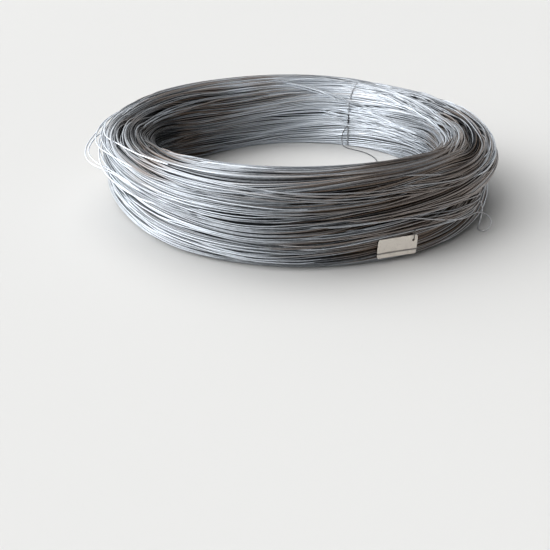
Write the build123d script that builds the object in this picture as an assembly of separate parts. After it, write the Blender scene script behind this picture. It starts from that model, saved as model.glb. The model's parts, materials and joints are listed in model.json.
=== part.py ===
from build123d import *
import math
import os

os.makedirs("parts", exist_ok=True)

# A coil of soft annealed steel wire, lying flat on its underside. Millimetres and degrees.
# The coil's axis is Z, its underside is at z = 0, and the side that faces the viewer is at -Y.

# The wound ring
WIRE_DIAMETER = 2.0
OUTER_DIAMETER = 600.0
BORE_DIAMETER = 440.0
COIL_HEIGHT = 110.0
MOUTH_FLARE_WIDTH = 28.0  # the upper inner turns lean outwards, so the mouth is dished
MOUTH_FLARE_DEPTH = 20.0
MOUTH_ROUND = 12.0
CREST_ROUND = 12.0
SHOULDER_ROUND = 20.0
FOOT_ROUND = 14.0
BORE_FOOT_ROUND = 8.0
ROUND_SHARE = 0.6  # the most of a wall that one of those rounds may take
TURN_PITCH = 2.2
TURN_RELIEF = 0.7
TURN_SIDE = 0.25  # the share of a turn's width that each of its two sloping sides takes

# The tie round the ring's section
TIE_DIAMETER = 1.8
TIE_AZIMUTH = 66.0
TIE_STRAND_SPACING = 1.7  # the tie is a doubled wire, and its two strands bite into each other
WAIST_DEPTH = 6.0  # how deep the tie pulls the turns in
WAIST_WIDTH = 9.0
TWIST_LENGTH = 16.0
TWIST_TURNS = 2.5
TWIST_FOOT_HEIGHT = 44.0
TIE_OVERLAP = 0.4  # how far the twist and the tail are sunk into what they are one wire with

# The tail, which hangs down in the waist and runs on across the floor, as steps inwards from the bore wall,
# sideways along it, and height of its centre above the floor. Above the bore's foot it keeps out of the eye.
TAIL_ROUTE = [
    (-2.2, 0.0, 49.0),
    (-0.4, 0.8, 41.0),
    (-0.5, 1.0, 32.0),
    (-0.4, 1.6, 23.5),
    (-0.5, 1.3, 15.5),
    (-0.3, 1.0, 8.6),
    (2.3, 2.6, 4.2),
    (6.8, 2.9, 1.5),
    (11.8, -4.2, 1.3),
    (16.2, -13.8, 1.3),
    (19.0, -25.5, 1.3),
    (23.5, -39.5, 1.3),
    (31.0, -52.5, 1.3),
    (42.5, -65.0, 1.3),
    (56.0, -76.0, 1.3),
    (72.0, -84.0, 1.3),
]

# The tag and its wire
TAG_WIDTH = 56.0
TAG_HEIGHT = 25.0
TAG_THICKNESS = 0.8
TAG_CORNER = 2.0
TAG_AZIMUTH = -66.0
TAG_CENTRE_HEIGHT = 20.5
TAG_TILT = -2.0
EYELET_DIAMETER = 4.0
EYELET_FROM_END = 5.5
EYELET_FROM_TOP = 6.5
TAG_WIRE_DIAMETER = 1.0
TAG_WIRE_LOOP = 13.0

# The turns that have sprung out at the left, each as the azimuths where it leaves and meets the ring,
# its lean at both, and its share of the widest turn's reach
SPRUNG_REACH = 32.0
SPRUNG_TURNS = [
    (163.0, 231.0, 44.0, -30.0, 1.0),
    (166.0, 234.0, 54.0, -16.0, 0.84),
    (168.0, 239.0, 64.0, -4.0, 0.62),
    (171.0, 243.0, 76.0, 10.0, 0.38),
]

# The free end of the wire, which slides down the flank and curls up beside its foot.
# Each point is its azimuth, and its shares of the curl's reach from the ring and of the height it comes from.
END_REACH = 19.0
END_HEIGHT = 55.0
END_ROUTE = [
    (-66.0, 0.01, 1.0),
    (-61.5, 0.02, 0.97),
    (-56.5, 0.02, 0.84),
    (-51.2, 0.02, 0.69),
    (-46.4, 0.02, 0.57),
    (-42.6, 0.02, 0.49),
    (-39.2, 0.03, 0.49),
    (-36.6, 0.1, 0.5),
    (-35.0, 0.33, 0.46),
    (-34.5, 0.68, 0.36),
    (-34.7, 0.9, 0.22),
    (-35.6, 0.86, 0.08),
    (-36.4, 0.57, 0.01),
    (-36.2, 0.22, 0.0),
    (-35.2, 0.05, 0.08),
    (-34.4, 0.02, 0.24),
    (-33.6, 0.03, 0.42),
    (-32.9, 0.0, 0.6),
]

# Clearance between pieces that lie on each other
SEAT_CLEARANCE = 0.3

outer_radius = OUTER_DIAMETER / 2
bore_radius = BORE_DIAMETER / 2
wire_radius = WIRE_DIAMETER / 2
tie_radius = TIE_DIAMETER / 2


def section_corners():
    """The section's corners from the foot of the bore, up the bore, over the top and down the outside."""
    return [
        (bore_radius, 0),
        (bore_radius, COIL_HEIGHT - MOUTH_FLARE_DEPTH),
        (bore_radius + MOUTH_FLARE_WIDTH, COIL_HEIGHT),
        (outer_radius, COIL_HEIGHT),
        (outer_radius, 0),
    ]


def shoulder_round():
    """The shoulder's round, limited by the flat top that it ends."""
    top_width = outer_radius - bore_radius - MOUTH_FLARE_WIDTH
    return min(SHOULDER_ROUND, ROUND_SHARE * top_width)


def section_rounds():
    """The rounds of those corners, in the same order."""
    wall_height = COIL_HEIGHT - MOUTH_FLARE_DEPTH
    bore_foot = min(BORE_FOOT_ROUND, ROUND_SHARE * wall_height)
    foot = min(FOOT_ROUND, ROUND_SHARE * COIL_HEIGHT)
    return [bore_foot, MOUTH_ROUND, CREST_ROUND, shoulder_round(), foot]


def smooth_section(inset):
    """The ring's section without its turns, drawn in by the inset."""
    outline = FilletPolyline(*section_corners(), radius=section_rounds(), close=True)
    return offset(make_face(outline), amount=-inset)


def plain_wall():
    """The heights between which the bore wall is straight, from its foot's round to its mouth's."""
    flare_angle = math.atan2(MOUTH_FLARE_WIDTH, MOUTH_FLARE_DEPTH)
    mouth_reach = MOUTH_ROUND * math.tan(flare_angle / 2)
    return section_rounds()[0], COIL_HEIGHT - MOUTH_FLARE_DEPTH - mouth_reach


def skin_path():
    """The section's skin from one turn inside the bore, over the top, down and back to one turn inside the bore."""
    foot, mouth, crest, shoulder, toe = section_corners()
    rounds = section_rounds()
    low, high = plain_wall()
    wall_top = (bore_radius, high - TURN_PITCH)
    wall_foot = (bore_radius, low + TURN_PITCH)
    points = [wall_top, mouth, crest, shoulder, toe, foot, wall_foot]
    return FilletPolyline(*points, radius=rounds[1:] + rounds[:1])


def turned_section():
    """The ring's section with a ridge for each turn on its skin, half a hexagon each, and a plain bore wall."""
    path = skin_path()
    turns = round(path.length / TURN_PITCH)

    def on_skin(place, depth):
        at = path @ (place / turns)
        along = path % (place / turns)
        return (at.X + along.Y * depth, at.Y - along.X * depth)

    outline = [on_skin(0, 0)]
    for turn in range(turns):
        outline.append(on_skin(turn, TURN_RELIEF))
        outline.append(on_skin(turn + TURN_SIDE, 0))
        outline.append(on_skin(turn + 1 - TURN_SIDE, 0))
    outline.append(on_skin(turns, TURN_RELIEF))
    outline.append(on_skin(turns, 0))
    return make_face(Polyline(*outline, close=True))


def wire_coil():
    """One turned solid, with a narrow waist where the tie pulls its turns in."""
    waist_angle = math.degrees(WAIST_WIDTH / outer_radius)
    ring = revolve(Plane.XZ * turned_section(), Axis.Z, 360 - waist_angle)
    waist = revolve(Plane.XZ * smooth_section(WAIST_DEPTH), Axis.Z, waist_angle)
    ring = Rot(0, 0, TIE_AZIMUTH + waist_angle / 2) * ring
    waist = Rot(0, 0, TIE_AZIMUTH - waist_angle / 2) * waist
    return ring + waist


def tube(points, diameter):
    """A round wire along straight runs joined by the largest tangent arcs that its runs leave room for."""
    path = FilletPolyline(*points, radius=arc_radii(points))
    profile = Plane(origin=path @ 0, z_dir=path % 0) * Circle(diameter / 2)
    return sweep(profile, path=path)


def arc_radii(points):
    """For each corner, 0.45 of its shorter run divided by the tangent of half the turn."""
    places = [Vector(*p) for p in points]
    radii = []
    for before, here, after in zip(places, places[1:], places[2:]):
        first, second = here - before, after - here
        half_turn = math.radians(first.get_angle(second) / 2)
        radii.append(0.45 * min(first.length, second.length) / math.tan(half_turn))
    return radii


def beside_ring(azimuth, lean, standoff):
    """A point beside the ring: lean is 90 on its top, 0 where its shoulder ends, and below 0 down its flank."""
    shoulder = shoulder_round()
    reach = shoulder + standoff
    round_part = math.radians(max(lean, 0))
    flank_part = math.radians(min(lean, 0))
    radius = outer_radius - shoulder + reach * math.cos(round_part)
    height = COIL_HEIGHT - shoulder + reach * math.sin(round_part)
    return polar(azimuth, radius, height + shoulder * flank_part)


def polar(azimuth, radius, height):
    angle = math.radians(azimuth)
    return (radius * math.cos(angle), radius * math.sin(angle), height)


def loose_turn(start, end, start_lean, end_lean, reach_share, steps=12):
    """A sprung turn: it leaves the shoulder, swings out by its reach and comes back down to the flank."""
    seat = wire_radius + SEAT_CLEARANCE
    reach = SPRUNG_REACH * reach_share
    points = []
    for i in range(steps + 1):
        share = i / steps
        azimuth = start + (end - start) * share
        lean = start_lean + (end_lean - start_lean) * share
        out = reach * math.sin(math.pi * share) ** 2
        points.append(beside_ring(azimuth, lean, seat + out))
    return tube(points, WIRE_DIAMETER)


def loose_turns():
    return Compound([loose_turn(*turn) for turn in SPRUNG_TURNS])


def wire_end():
    seat = wire_radius + SEAT_CLEARANCE
    points = [
        polar(azimuth, outer_radius + seat + END_REACH * out, seat + (END_HEIGHT - seat) * up)
        for azimuth, out, up in END_ROUTE
    ]
    return tube(points, WIRE_DIAMETER)


def closed_loop(outline, profile, across):
    """A profile swept round a closed outline; across is the direction of the profile's own X."""
    start = Plane(origin=outline @ 0, x_dir=across, z_dir=outline % 0)
    return sweep(start * profile, path=outline)


def doubled_strand():
    apart = TIE_STRAND_SPACING / 2
    return Pos(-apart, 0) * Circle(tie_radius) + Pos(apart, 0) * Circle(tie_radius)


def tie_wire():
    """The doubled wire round the waist, its twist on the bore side, and its tail on the floor."""
    seat_inset = WAIST_DEPTH - SEAT_CLEARANCE - tie_radius
    outline = Plane.XZ * smooth_section(seat_inset).face().outer_wire()
    loop = closed_loop(outline, doubled_strand(), (0, 1, 0))
    twist_radius = tie_radius + TIE_STRAND_SPACING / 2
    inner_face = bore_radius + WAIST_DEPTH - SEAT_CLEARANCE - TIE_DIAMETER
    twist_place = inner_face - twist_radius + TIE_OVERLAP
    twist = Solid.extrude_linear_with_rotation(
        section=doubled_strand().face(),
        center=(0, 0, 0),
        normal=(0, 0, TWIST_LENGTH),
        angle=360 * TWIST_TURNS,
    )
    twist = Pos(twist_place, 0, TWIST_FOOT_HEIGHT) * twist
    route = [
        (bore_radius - inward, sideways, height)
        for inward, sideways, height in TAIL_ROUTE
    ]
    tail = tube(route, TIE_DIAMETER)
    return Rot(0, 0, TIE_AZIMUTH) * (loop + twist + tail)


def tag_place():
    """The tag's own plane: X along the tag, Y up it, Z out of the ring, with its back face at Z = 0."""
    hole_reach = TAG_WIDTH / 2 - EYELET_FROM_END
    fall_away = math.hypot(outer_radius, hole_reach) - outer_radius
    standoff = TAG_WIRE_DIAMETER + 2 * SEAT_CLEARANCE - fall_away
    origin = polar(TAG_AZIMUTH, outer_radius + standoff, TAG_CENTRE_HEIGHT)
    outwards = polar(TAG_AZIMUTH, 1, 0)
    along = polar(TAG_AZIMUTH + 90, 1, 0)
    return Plane(origin=origin, x_dir=along, z_dir=outwards) * Rot(0, 0, TAG_TILT)


def eyelet_place():
    return (TAG_WIDTH / 2 - EYELET_FROM_END, TAG_HEIGHT / 2 - EYELET_FROM_TOP)


def coil_tag():
    plate = RectangleRounded(TAG_WIDTH, TAG_HEIGHT, TAG_CORNER)
    plate -= Pos(*eyelet_place()) * Circle(EYELET_DIAMETER / 2)
    return tag_place() * extrude(plate, TAG_THICKNESS)


def tag_wire():
    """A closed loop through the eyelet, over the tag's top edge and down its back."""
    radius = TAG_WIRE_DIAMETER / 2
    x, y = eyelet_place()
    foot = y + EYELET_DIAMETER / 2 - SEAT_CLEARANCE - radius
    depth = TAG_THICKNESS + 2 * (SEAT_CLEARANCE + radius)
    corner = depth / 2 * 0.9
    outline = Plane.YZ * (
        Pos(foot + TAG_WIRE_LOOP / 2, TAG_THICKNESS / 2)
        * RectangleRounded(TAG_WIRE_LOOP, depth, corner)
    )
    loop = closed_loop(outline.face().outer_wire(), Circle(radius), (1, 0, 0))
    return tag_place() * (Pos(x, 0, 0) * loop)


NODES = {
    "wire_coil": wire_coil,
    "loose_turns": loose_turns,
    "wire_end": wire_end,
    "tie_wire": tie_wire,
    "coil_tag": coil_tag,
    "tag_wire": tag_wire,
}

for name, build in NODES.items():
    export_step(build(), f"parts/{name}.step")
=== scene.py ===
import json
import math
import random

import bmesh
import bpy
from mathutils import Matrix, Vector


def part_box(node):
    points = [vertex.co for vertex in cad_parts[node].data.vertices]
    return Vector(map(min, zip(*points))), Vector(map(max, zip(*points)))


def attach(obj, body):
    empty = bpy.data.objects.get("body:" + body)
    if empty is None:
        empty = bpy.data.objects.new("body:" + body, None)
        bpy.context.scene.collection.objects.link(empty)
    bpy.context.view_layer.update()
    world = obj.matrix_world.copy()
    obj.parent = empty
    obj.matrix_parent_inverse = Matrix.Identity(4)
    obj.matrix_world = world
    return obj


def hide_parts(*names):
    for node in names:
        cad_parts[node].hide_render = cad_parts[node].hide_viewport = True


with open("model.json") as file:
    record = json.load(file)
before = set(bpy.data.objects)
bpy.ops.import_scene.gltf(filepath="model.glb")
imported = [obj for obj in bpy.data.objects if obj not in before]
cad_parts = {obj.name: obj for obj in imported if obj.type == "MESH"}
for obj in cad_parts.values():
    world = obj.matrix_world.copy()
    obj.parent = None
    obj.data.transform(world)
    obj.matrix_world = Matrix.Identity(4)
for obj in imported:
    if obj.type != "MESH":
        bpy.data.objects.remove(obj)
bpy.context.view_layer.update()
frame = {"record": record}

# Sizes in metres, azimuths in degrees. The coil's axis is Z, and its front is at -Y.

# The ring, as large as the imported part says
ring_low, ring_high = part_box("wire_coil")
OUTER_RADIUS = (ring_high.x - ring_low.x) / 2
COIL_HEIGHT = ring_high.z
EYE = next(mount for mount in frame["record"]["mounts"] if mount["name"] == "coil_eye")
BORE_RADIUS = EYE["dims"]["r_mm"] / 1000
RING_WIDTH = OUTER_RADIUS - BORE_RADIUS

# The flare of its eye and its rounds
FLARE_WIDTH = 0.028
FLARE_DEPTH = 0.020
BORE_FOOT_ROUND = 0.008
MOUTH_ROUND = 0.012
CREST_ROUND = 0.012
SHOULDER_ROUND = 0.020
FOOT_ROUND = 0.014

# The wires
WIRE_RADIUS = 0.001
WIRE_SIDES = 5
LAID_WIRE_SIDES = 8
TIE_RADIUS = 0.0007
TIE_AZIMUTH = 66.0
TIE_STRAND_SPACING = 0.0013
PINCH_DEPTH = 0.0008  # how deep the tie draws the turns in
PINCH_ANGLE = 10.0  # how far to each side it still draws them

# A wound coil is never quite round or flat: waves of its outside, its eye and its top,
# each as (turns round the coil, cosine part, sine part)
OUTSIDE_WAVES = [(2, -0.0021, 0.0021), (3, -0.0011, 0.0028)]
EYE_WAVES = [(1, -0.002, 0.0), (2, -0.002, 0.004)]
TOP_WAVES = [(1, -0.004, 0.0), (2, -0.003, -0.0015)]

# How the turns roll round the section on their way round the coil
ROLL_WAVES = [(1, 0.0022, -0.0330), (2, -0.0051, 0.0061)]

# Dips between bundles: azimuth of the middle, reach to each side, way along the section at the middle,
# how far that moves in one radian, half width, and depth
DIPS = [
    (-26, 32, 0.1575, -0.052, 0.0105, 0.0160),
    (92, 26, 0.0600, -0.030, 0.0070, 0.0050),
    (214, 22, 0.1640, 0.048, 0.0030, 0.0050),
    (214, 20, 0.2020, 0.045, 0.0028, 0.0026),
    (38, 30, 0.1260, 0.016, 0.0028, 0.0045),
    (150, 34, 0.1100, 0.012, 0.0030, 0.0040),
    (262, 20, 0.2160, 0.014, 0.0024, 0.0028),
    (-52, 30, 0.2310, 0.006, 0.0042, 0.0085),
]

# Broad hollows and swells that leave the turns side by side, in the same terms; a swell's depth is below 0
SWELLS = [
    (-20, 15, 0.2500, 0.0, 0.0150, 0.0080),
    (206, 22, 0.2800, 0.0, 0.0200, 0.0090),
    (-66, 7.5, 0.2600, 0.0, 0.0180, 0.0030),
    (-2, 26, 0.1760, -0.010, 0.0200, 0.0070),
    (-14, 22, 0.2120, 0.0, 0.0170, -0.0065),
    (84, 20, 0.1400, 0.0, 0.0200, -0.0022),
]

# Finer furrows, scattered in zones where the turns lie loose: azimuth and reach of the zone,
# the ways along the section that it spans, the furrows' slant, how many they are, and how deep
FURROW_ZONES = [
    (24, 42, 0.090, 0.196, -0.032, 17, 0.0068),
    (216, 32, 0.120, 0.186, 0.040, 10, 0.0042),
    (228, 36, 0.186, 0.270, 0.030, 12, 0.0026),
    (345, 30, 0.168, 0.232, -0.036, 8, 0.0055),
    (300, 34, 0.190, 0.232, -0.012, 5, 0.0022),
]
FURROW_SEED = 23
FURROW_PLACES = (0.2, 0.8)  # where a furrow lies in its own part of the zone's span
FURROW_SHIFTS = (-0.5, 0.5)  # how far round it is shifted, in reaches of the zone
FURROW_REACHES = (0.4, 0.9)  # its own reach, in reaches of the zone
FURROW_SLANT_SPREAD = 0.006
FURROW_WIDTHS = (0.0013, 0.0022)
FURROW_DEPTHS = (0.7, 1.2)  # shares of the zone's depth


def scatter_furrows():
    """A dip for each furrow: its place, reach, slant, width and depth vary within its zone."""
    chance = random.Random(FURROW_SEED)
    furrows = []
    for azimuth, reach, low, high, slant, count, depth in FURROW_ZONES:
        for i in range(count):
            middle = low + (high - low) * (i + chance.uniform(*FURROW_PLACES)) / count
            furrows.append((
                azimuth + reach * chance.uniform(*FURROW_SHIFTS),
                reach * chance.uniform(*FURROW_REACHES),
                middle,
                slant + chance.uniform(-FURROW_SLANT_SPREAD, FURROW_SLANT_SPREAD),
                chance.uniform(*FURROW_WIDTHS),
                depth * chance.uniform(*FURROW_DEPTHS),
            ))
    return furrows


DIPS += scatter_furrows()

# Where the film's brown tints gather: azimuth, reach and strength
BROWN_ZONES = [(-48.0, 38.0, 1.0), (140.0, 34.0, 0.7)]
BROWN_ELSEWHERE = -0.45

# The camera, by the photograph's own frame
FRAME_PIXELS = 550
FOCAL_PIXELS = 662.4
CAMERA_PLACE = (0.0, -1.0196, 0.3754)
CAMERA_PITCH = 28.07
CAMERA_YAW = -2.21
CAMERA_ROLL = -0.34
SENSOR_WIDTH = 36.0  # millimetres, as the lens
NEAR_CLIP = 0.01


def new_object(name, data):
    """An object in the scene that holds a mesh, a curve, a lamp or a camera."""
    holder = bpy.data.objects.new(name, data)
    bpy.context.scene.collection.objects.link(holder)
    return holder


def place_camera():
    camera = bpy.data.cameras.new("camera")
    camera.sensor_width = SENSOR_WIDTH
    camera.lens = SENSOR_WIDTH * FOCAL_PIXELS / FRAME_PIXELS
    camera.clip_start = NEAR_CLIP
    holder = new_object("camera", camera)
    turn = Matrix.Rotation(math.radians(-CAMERA_YAW), 4, "Z")
    tilt = Matrix.Rotation(math.radians(90 - CAMERA_PITCH), 4, "X")
    roll = Matrix.Rotation(math.radians(CAMERA_ROLL), 4, "Z")
    holder.matrix_world = Matrix.Translation(CAMERA_PLACE) @ turn @ tilt @ roll
    bpy.context.scene.camera = holder


# Node trees

NUMBER = "NodeSocketFloat"
COUNT = "NodeSocketInt"
COLOUR = "NodeSocketColor"
SHAPE = "NodeSocketGeometry"
OBJECT = "NodeSocketObject"
MATERIAL = "NodeSocketMaterial"


class Value:
    """A value inside a node tree. The signs +, -, * and / join it to others with math nodes."""

    def __init__(self, maker, socket):
        self.maker = maker
        self.socket = socket

    def __add__(self, other):
        return self.maker.math("ADD", self, other)

    __radd__ = __add__

    def __sub__(self, other):
        return self.maker.math("SUBTRACT", self, other)

    def __rsub__(self, other):
        return self.maker.math("SUBTRACT", other, self)

    def __mul__(self, other):
        return self.maker.math("MULTIPLY", self, other)

    def __truediv__(self, other):
        return self.maker.math("DIVIDE", self, other)


class Maker:
    """Fills one node tree with nodes and links."""

    def __init__(self, tree):
        self.tree = tree

    def feed(self, socket, value):
        if isinstance(value, Value):
            value = value.socket
        if isinstance(value, bpy.types.NodeSocket):
            self.tree.links.new(value, socket)
        else:
            socket.default_value = value

    def node(self, kind, values=None, **settings):
        node = self.tree.nodes.new(kind)
        for name, setting in settings.items():
            setattr(node, name, setting)
        for name, value in (values or {}).items():
            self.feed(node.inputs[name], value)
        return node

    def math(self, operation, *values):
        node = self.tree.nodes.new("ShaderNodeMath")
        node.operation = operation
        for socket, value in zip(node.inputs, values):
            self.feed(socket, value)
        return Value(self, node.outputs[0])

    def cos(self, angle):
        return self.math("COSINE", angle)

    def sin(self, angle):
        return self.math("SINE", angle)

    def exp(self, power):
        return self.math("EXPONENT", power)

    def split(self, vector):
        """The three parts of a vector."""
        return [Value(self, part) for part in self.node("ShaderNodeSeparateXYZ", {"Vector": vector}).outputs]

    def join(self, x, y, z):
        return self.node("ShaderNodeCombineXYZ", {"X": x, "Y": y, "Z": z}).outputs[0]

    def noise(self, vector, at):
        """Soft noise from about -1 to 1."""
        values = {"Vector": vector, "W": at, "Scale": 1.0, "Detail": 0.0}
        node = self.node("ShaderNodeTexNoise", values, noise_dimensions="4D")
        return (Value(self, node.outputs[0]) - 0.5) * 2.0

    def white(self, at):
        """A random number from 0 to 1 for each whole number."""
        node = self.node("ShaderNodeTexWhiteNoise", {"W": at}, noise_dimensions="1D")
        return Value(self, node.outputs["Value"])

    def patches(self, scale, detail):
        """Noise from 0 to 1 that lies still on a piece's surface."""
        place = self.node("ShaderNodeTexCoord").outputs["Object"]
        values = {"Vector": place, "Scale": scale, "Detail": detail}
        return Value(self, self.node("ShaderNodeTexNoise", values).outputs[0])

    def blend(self, share, first, second):
        """A colour between two others."""
        node = self.node("ShaderNodeMix", data_type="RGBA")
        self.feed(node.inputs["Factor"], share)
        colours = [socket for socket in node.inputs if socket.type == "RGBA"]
        self.feed(colours[0], first)
        self.feed(colours[1], second)
        return next(socket for socket in node.outputs if socket.type == "RGBA")

    def ramp(self, value, low, high, to_low=0.0, to_high=1.0):
        """A value stretched from one range to another, and held inside it."""
        values = {"Value": value, "From Min": low, "From Max": high, "To Min": to_low, "To Max": to_high}
        return Value(self, self.node("ShaderNodeMapRange", values).outputs["Result"])


def new_tree(name, kind, inputs, outputs):
    """A tree with named inputs and outputs: its maker, its inputs by name, and its output node's sockets."""
    tree = bpy.data.node_groups.new(name, kind)
    for label, socket in inputs.items():
        tree.interface.new_socket(label, in_out="INPUT", socket_type=socket)
    for label, socket in outputs.items():
        tree.interface.new_socket(label, in_out="OUTPUT", socket_type=socket)
    make = Maker(tree)
    start = tree.nodes.new("NodeGroupInput")
    end = tree.nodes.new("NodeGroupOutput")
    given = {label: Value(make, start.outputs[label]) for label in inputs}
    return make, given, end.inputs


# The ring's shape, in plain numbers where maths is the math module, or in a tree where it is the maker

def sum_waves(maths, angle, waves):
    total = 0.0
    for times, cosine, sine in waves:
        total = total + maths.cos(angle * times) * cosine
        total = total + maths.sin(angle * times) * sine
    return total


def nearness(maths, angle, azimuth, reach):
    """1 at an azimuth, falling softly to nearly nothing at twice the reach from it."""
    return maths.exp((maths.cos(angle - math.radians(azimuth)) - 1.0) * (2 / math.radians(reach) ** 2))


def dip_at(maths, dip, angle, way):
    """How far a place is across a dip, in half widths, and its share of the dip's depth."""
    azimuth, reach, middle, slant, width, _ = dip
    centre = maths.sin(angle - math.radians(azimuth)) * slant + middle
    across = (way - centre) * (1 / width)
    return across, maths.exp(across * across * -1.0) * nearness(maths, angle, azimuth, reach)


def distort(maths, angle, radius, height):
    """The radius and height that a place on an even ring has on the waved one."""
    outwards = (radius - BORE_RADIUS) * (1 / RING_WIDTH)
    outside = sum_waves(maths, angle, OUTSIDE_WAVES)
    inside = sum_waves(maths, angle, EYE_WAVES)
    top = sum_waves(maths, angle, TOP_WAVES) * (1 / COIL_HEIGHT)
    return radius + outwards * outside + (outwards * -1.0 + 1.0) * inside, height * (top + 1.0)


# The ring's section

ROUND_STEPS = 8


def section_outline():
    """The section as (radius, height) points: up the bore, over the top, down the outside, back under."""
    corners = [
        (BORE_RADIUS, 0.0, BORE_FOOT_ROUND),
        (BORE_RADIUS, COIL_HEIGHT - FLARE_DEPTH, MOUTH_ROUND),
        (BORE_RADIUS + FLARE_WIDTH, COIL_HEIGHT, CREST_ROUND),
        (OUTER_RADIUS, COIL_HEIGHT, SHOULDER_ROUND),
        (OUTER_RADIUS, 0.0, FOOT_ROUND),
    ]
    outline = []
    for i, (x, z, round_radius) in enumerate(corners):
        here = Vector((x, z))
        back = (Vector(corners[i - 1][:2]) - here).normalized()
        onward = (Vector(corners[(i + 1) % len(corners)][:2]) - here).normalized()
        half = back.angle(onward) / 2
        centre = here + (back + onward).normalized() * round_radius / math.sin(half)
        first = here + back * round_radius / math.tan(half) - centre
        last = here + onward * round_radius / math.tan(half) - centre
        sweep = first.angle_signed(last)
        for step in range(ROUND_STEPS + 1):
            spoke = first.copy()
            spoke.rotate(Matrix.Rotation(-sweep * step / ROUND_STEPS, 2))
            outline.append(centre + spoke)
    return outline


def running_lengths(outline):
    """How far along the outline each of its points lies, and the whole way round."""
    lengths = [0.0]
    for here, after in zip(outline, outline[1:] + outline[:1]):
        lengths.append(lengths[-1] + (after - here).length)
    return lengths


SECTION = section_outline()
SECTION_LENGTHS = running_lengths(SECTION)
SECTION_GIRTH = SECTION_LENGTHS[-1]


def ring_point(azimuth, radius, height):
    """A point of the waved ring by its azimuth, and its radius and height on an even one."""
    angle = math.radians(azimuth)
    reach, rise = distort(math, angle, radius, height)
    return Vector((reach * math.cos(angle), reach * math.sin(angle), rise))


def on_skin(azimuth, way, depth):
    """A point by its azimuth, its way along the section's outline from the bore's foot, and its depth."""
    way %= SECTION_GIRTH
    i = max(k for k in range(len(SECTION)) if SECTION_LENGTHS[k] <= way)
    here, after = SECTION[i], SECTION[(i + 1) % len(SECTION)]
    along = (after - here).normalized()
    flat = here + along * (way - SECTION_LENGTHS[i])
    return ring_point(azimuth, flat.x + along.y * depth, flat.y - along.x * depth)


def pinch(azimuth):
    """How far the tie draws the skin in."""
    return PINCH_DEPTH * nearness(math, math.radians(azimuth), TIE_AZIMUTH, PINCH_ANGLE)


def hollow(azimuth, way):
    """How far the dips between bundles and the broad hollows draw the skin in."""
    angle = math.radians(azimuth)
    return sum(dip[-1] * dip_at(math, dip, angle, way)[1] for dip in DIPS + SWELLS)


# Making pieces

def piece_from(mesh, name, slot, *replaced):
    """Puts a mesh in as a piece that rides on the coil, and may replace nodes. Its slot is not used."""
    mesh.name = name
    piece = new_object(name, mesh)
    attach(piece, "root")
    if replaced:
        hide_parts(*replaced)


def plain_mesh(holder):
    """The evaluated mesh of an object with modifiers, after which the object is removed."""
    bpy.context.view_layer.update()
    graph = bpy.context.evaluated_depsgraph_get()
    mesh = bpy.data.meshes.new_from_object(holder.evaluated_get(graph))
    bpy.data.objects.remove(holder)
    return mesh


def mesh_from_tree(name, tree, **values):
    """What a geometry tree makes, as a plain mesh. Each value is fed to the tree's input of that name."""
    holder = new_object(name, bpy.data.meshes.new(name))
    modifier = holder.modifiers.new(name, "NODES")
    modifier.node_group = tree
    sockets = {item.name: item.identifier for item in tree.interface.items_tree if item.in_out == "INPUT"}
    for label, value in values.items():
        modifier[sockets[label.replace("_", " ")]] = value
    return plain_mesh(holder)


CURVE_STEPS = 4
CURVE_ORDER = 3


def draw_lines(name, lines, closed, smooth):
    """Lines as one curve object: smooth NURBS lines, or straight runs."""
    curve = bpy.data.curves.new(name, "CURVE")
    curve.dimensions = "3D"
    curve.resolution_u = CURVE_STEPS
    for points in lines:
        spline = curve.splines.new("NURBS" if smooth else "POLY")
        spline.points.add(len(points) - 1)
        for point, place in zip(spline.points, points):
            point.co = (*place, 1.0)
        spline.use_cyclic_u = closed
        if smooth:
            spline.order_u = CURVE_ORDER
            spline.use_endpoint_u = not closed
    return new_object(name, curve)


# Added to a strand's number, so that its brown and its leaving out are drawn apart from its tone
BROWN_DRAW = 300.0
THINNING_DRAW = 500.0


def round_wires(make, lines, radius, sides, material, tone, brownness):
    """The last nodes of both wire trees: they store the strands' tones, which carry the wound turns' painted
    light and shade, and give thickness and material.
    """
    x, y, _ = make.split(make.node("GeometryNodeInputPosition").outputs[0])
    azimuth = make.math("ARCTAN2", y, x)
    brownness = brownness + BROWN_ELSEWHERE
    for middle, reach, strength in BROWN_ZONES:
        brownness = brownness + nearness(make, azimuth, middle, reach) * strength
    for name, value in (("strand_tone", tone), ("strand_brown", brownness)):
        values = {"Geometry": lines, "Name": name, "Value": value}
        store = make.node("GeometryNodeStoreNamedAttribute", values, data_type="FLOAT", domain="POINT")
        lines = store.outputs["Geometry"]
    profile = make.node("GeometryNodeCurvePrimitiveCircle", {"Resolution": sides, "Radius": radius})
    values = {"Curve": lines, "Profile Curve": profile.outputs["Curve"], "Fill Caps": True}
    wires = make.node("GeometryNodeCurveToMesh", values)
    smooth = make.node("GeometryNodeSetShadeSmooth", {"Geometry": wires.outputs[0]})
    whole = make.node("GeometryNodeRealizeInstances", {"Geometry": smooth.outputs[0]})
    finished = make.node("GeometryNodeSetMaterial", {"Geometry": whole.outputs[0], "Material": material})
    return finished.outputs[0]


def laid_wires_tree():
    """Round wires along drawn lines, each of its own tone."""
    inputs = {"Lines": OBJECT, "Sides": COUNT, "Material": MATERIAL}
    inputs.update(dict.fromkeys(["Wire radius", "Tone", "Tone spread", "Brown", "Seed"], NUMBER))
    make, given, result = new_tree("laid wires", "GeometryNodeTree", inputs, {"Geometry": SHAPE})
    drawn = make.node("GeometryNodeObjectInfo", {"Object": given["Lines"]}).outputs["Geometry"]
    lines = make.node("GeometryNodeResampleCurve", {"Curve": drawn}, mode="EVALUATED").outputs["Curve"]
    index = Value(make, make.node("GeometryNodeCurveOfPoint").outputs["Curve Index"])
    strand = index + given["Seed"]
    tone = (make.white(strand) - 0.5) * given["Tone spread"] + given["Tone"]
    brownness = make.white(strand + BROWN_DRAW) + given["Brown"]
    wires = round_wires(
        make, lines, given["Wire radius"], given["Sides"], given["Material"], tone, brownness
    )
    make.feed(result["Geometry"], wires)
    return make.tree


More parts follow.
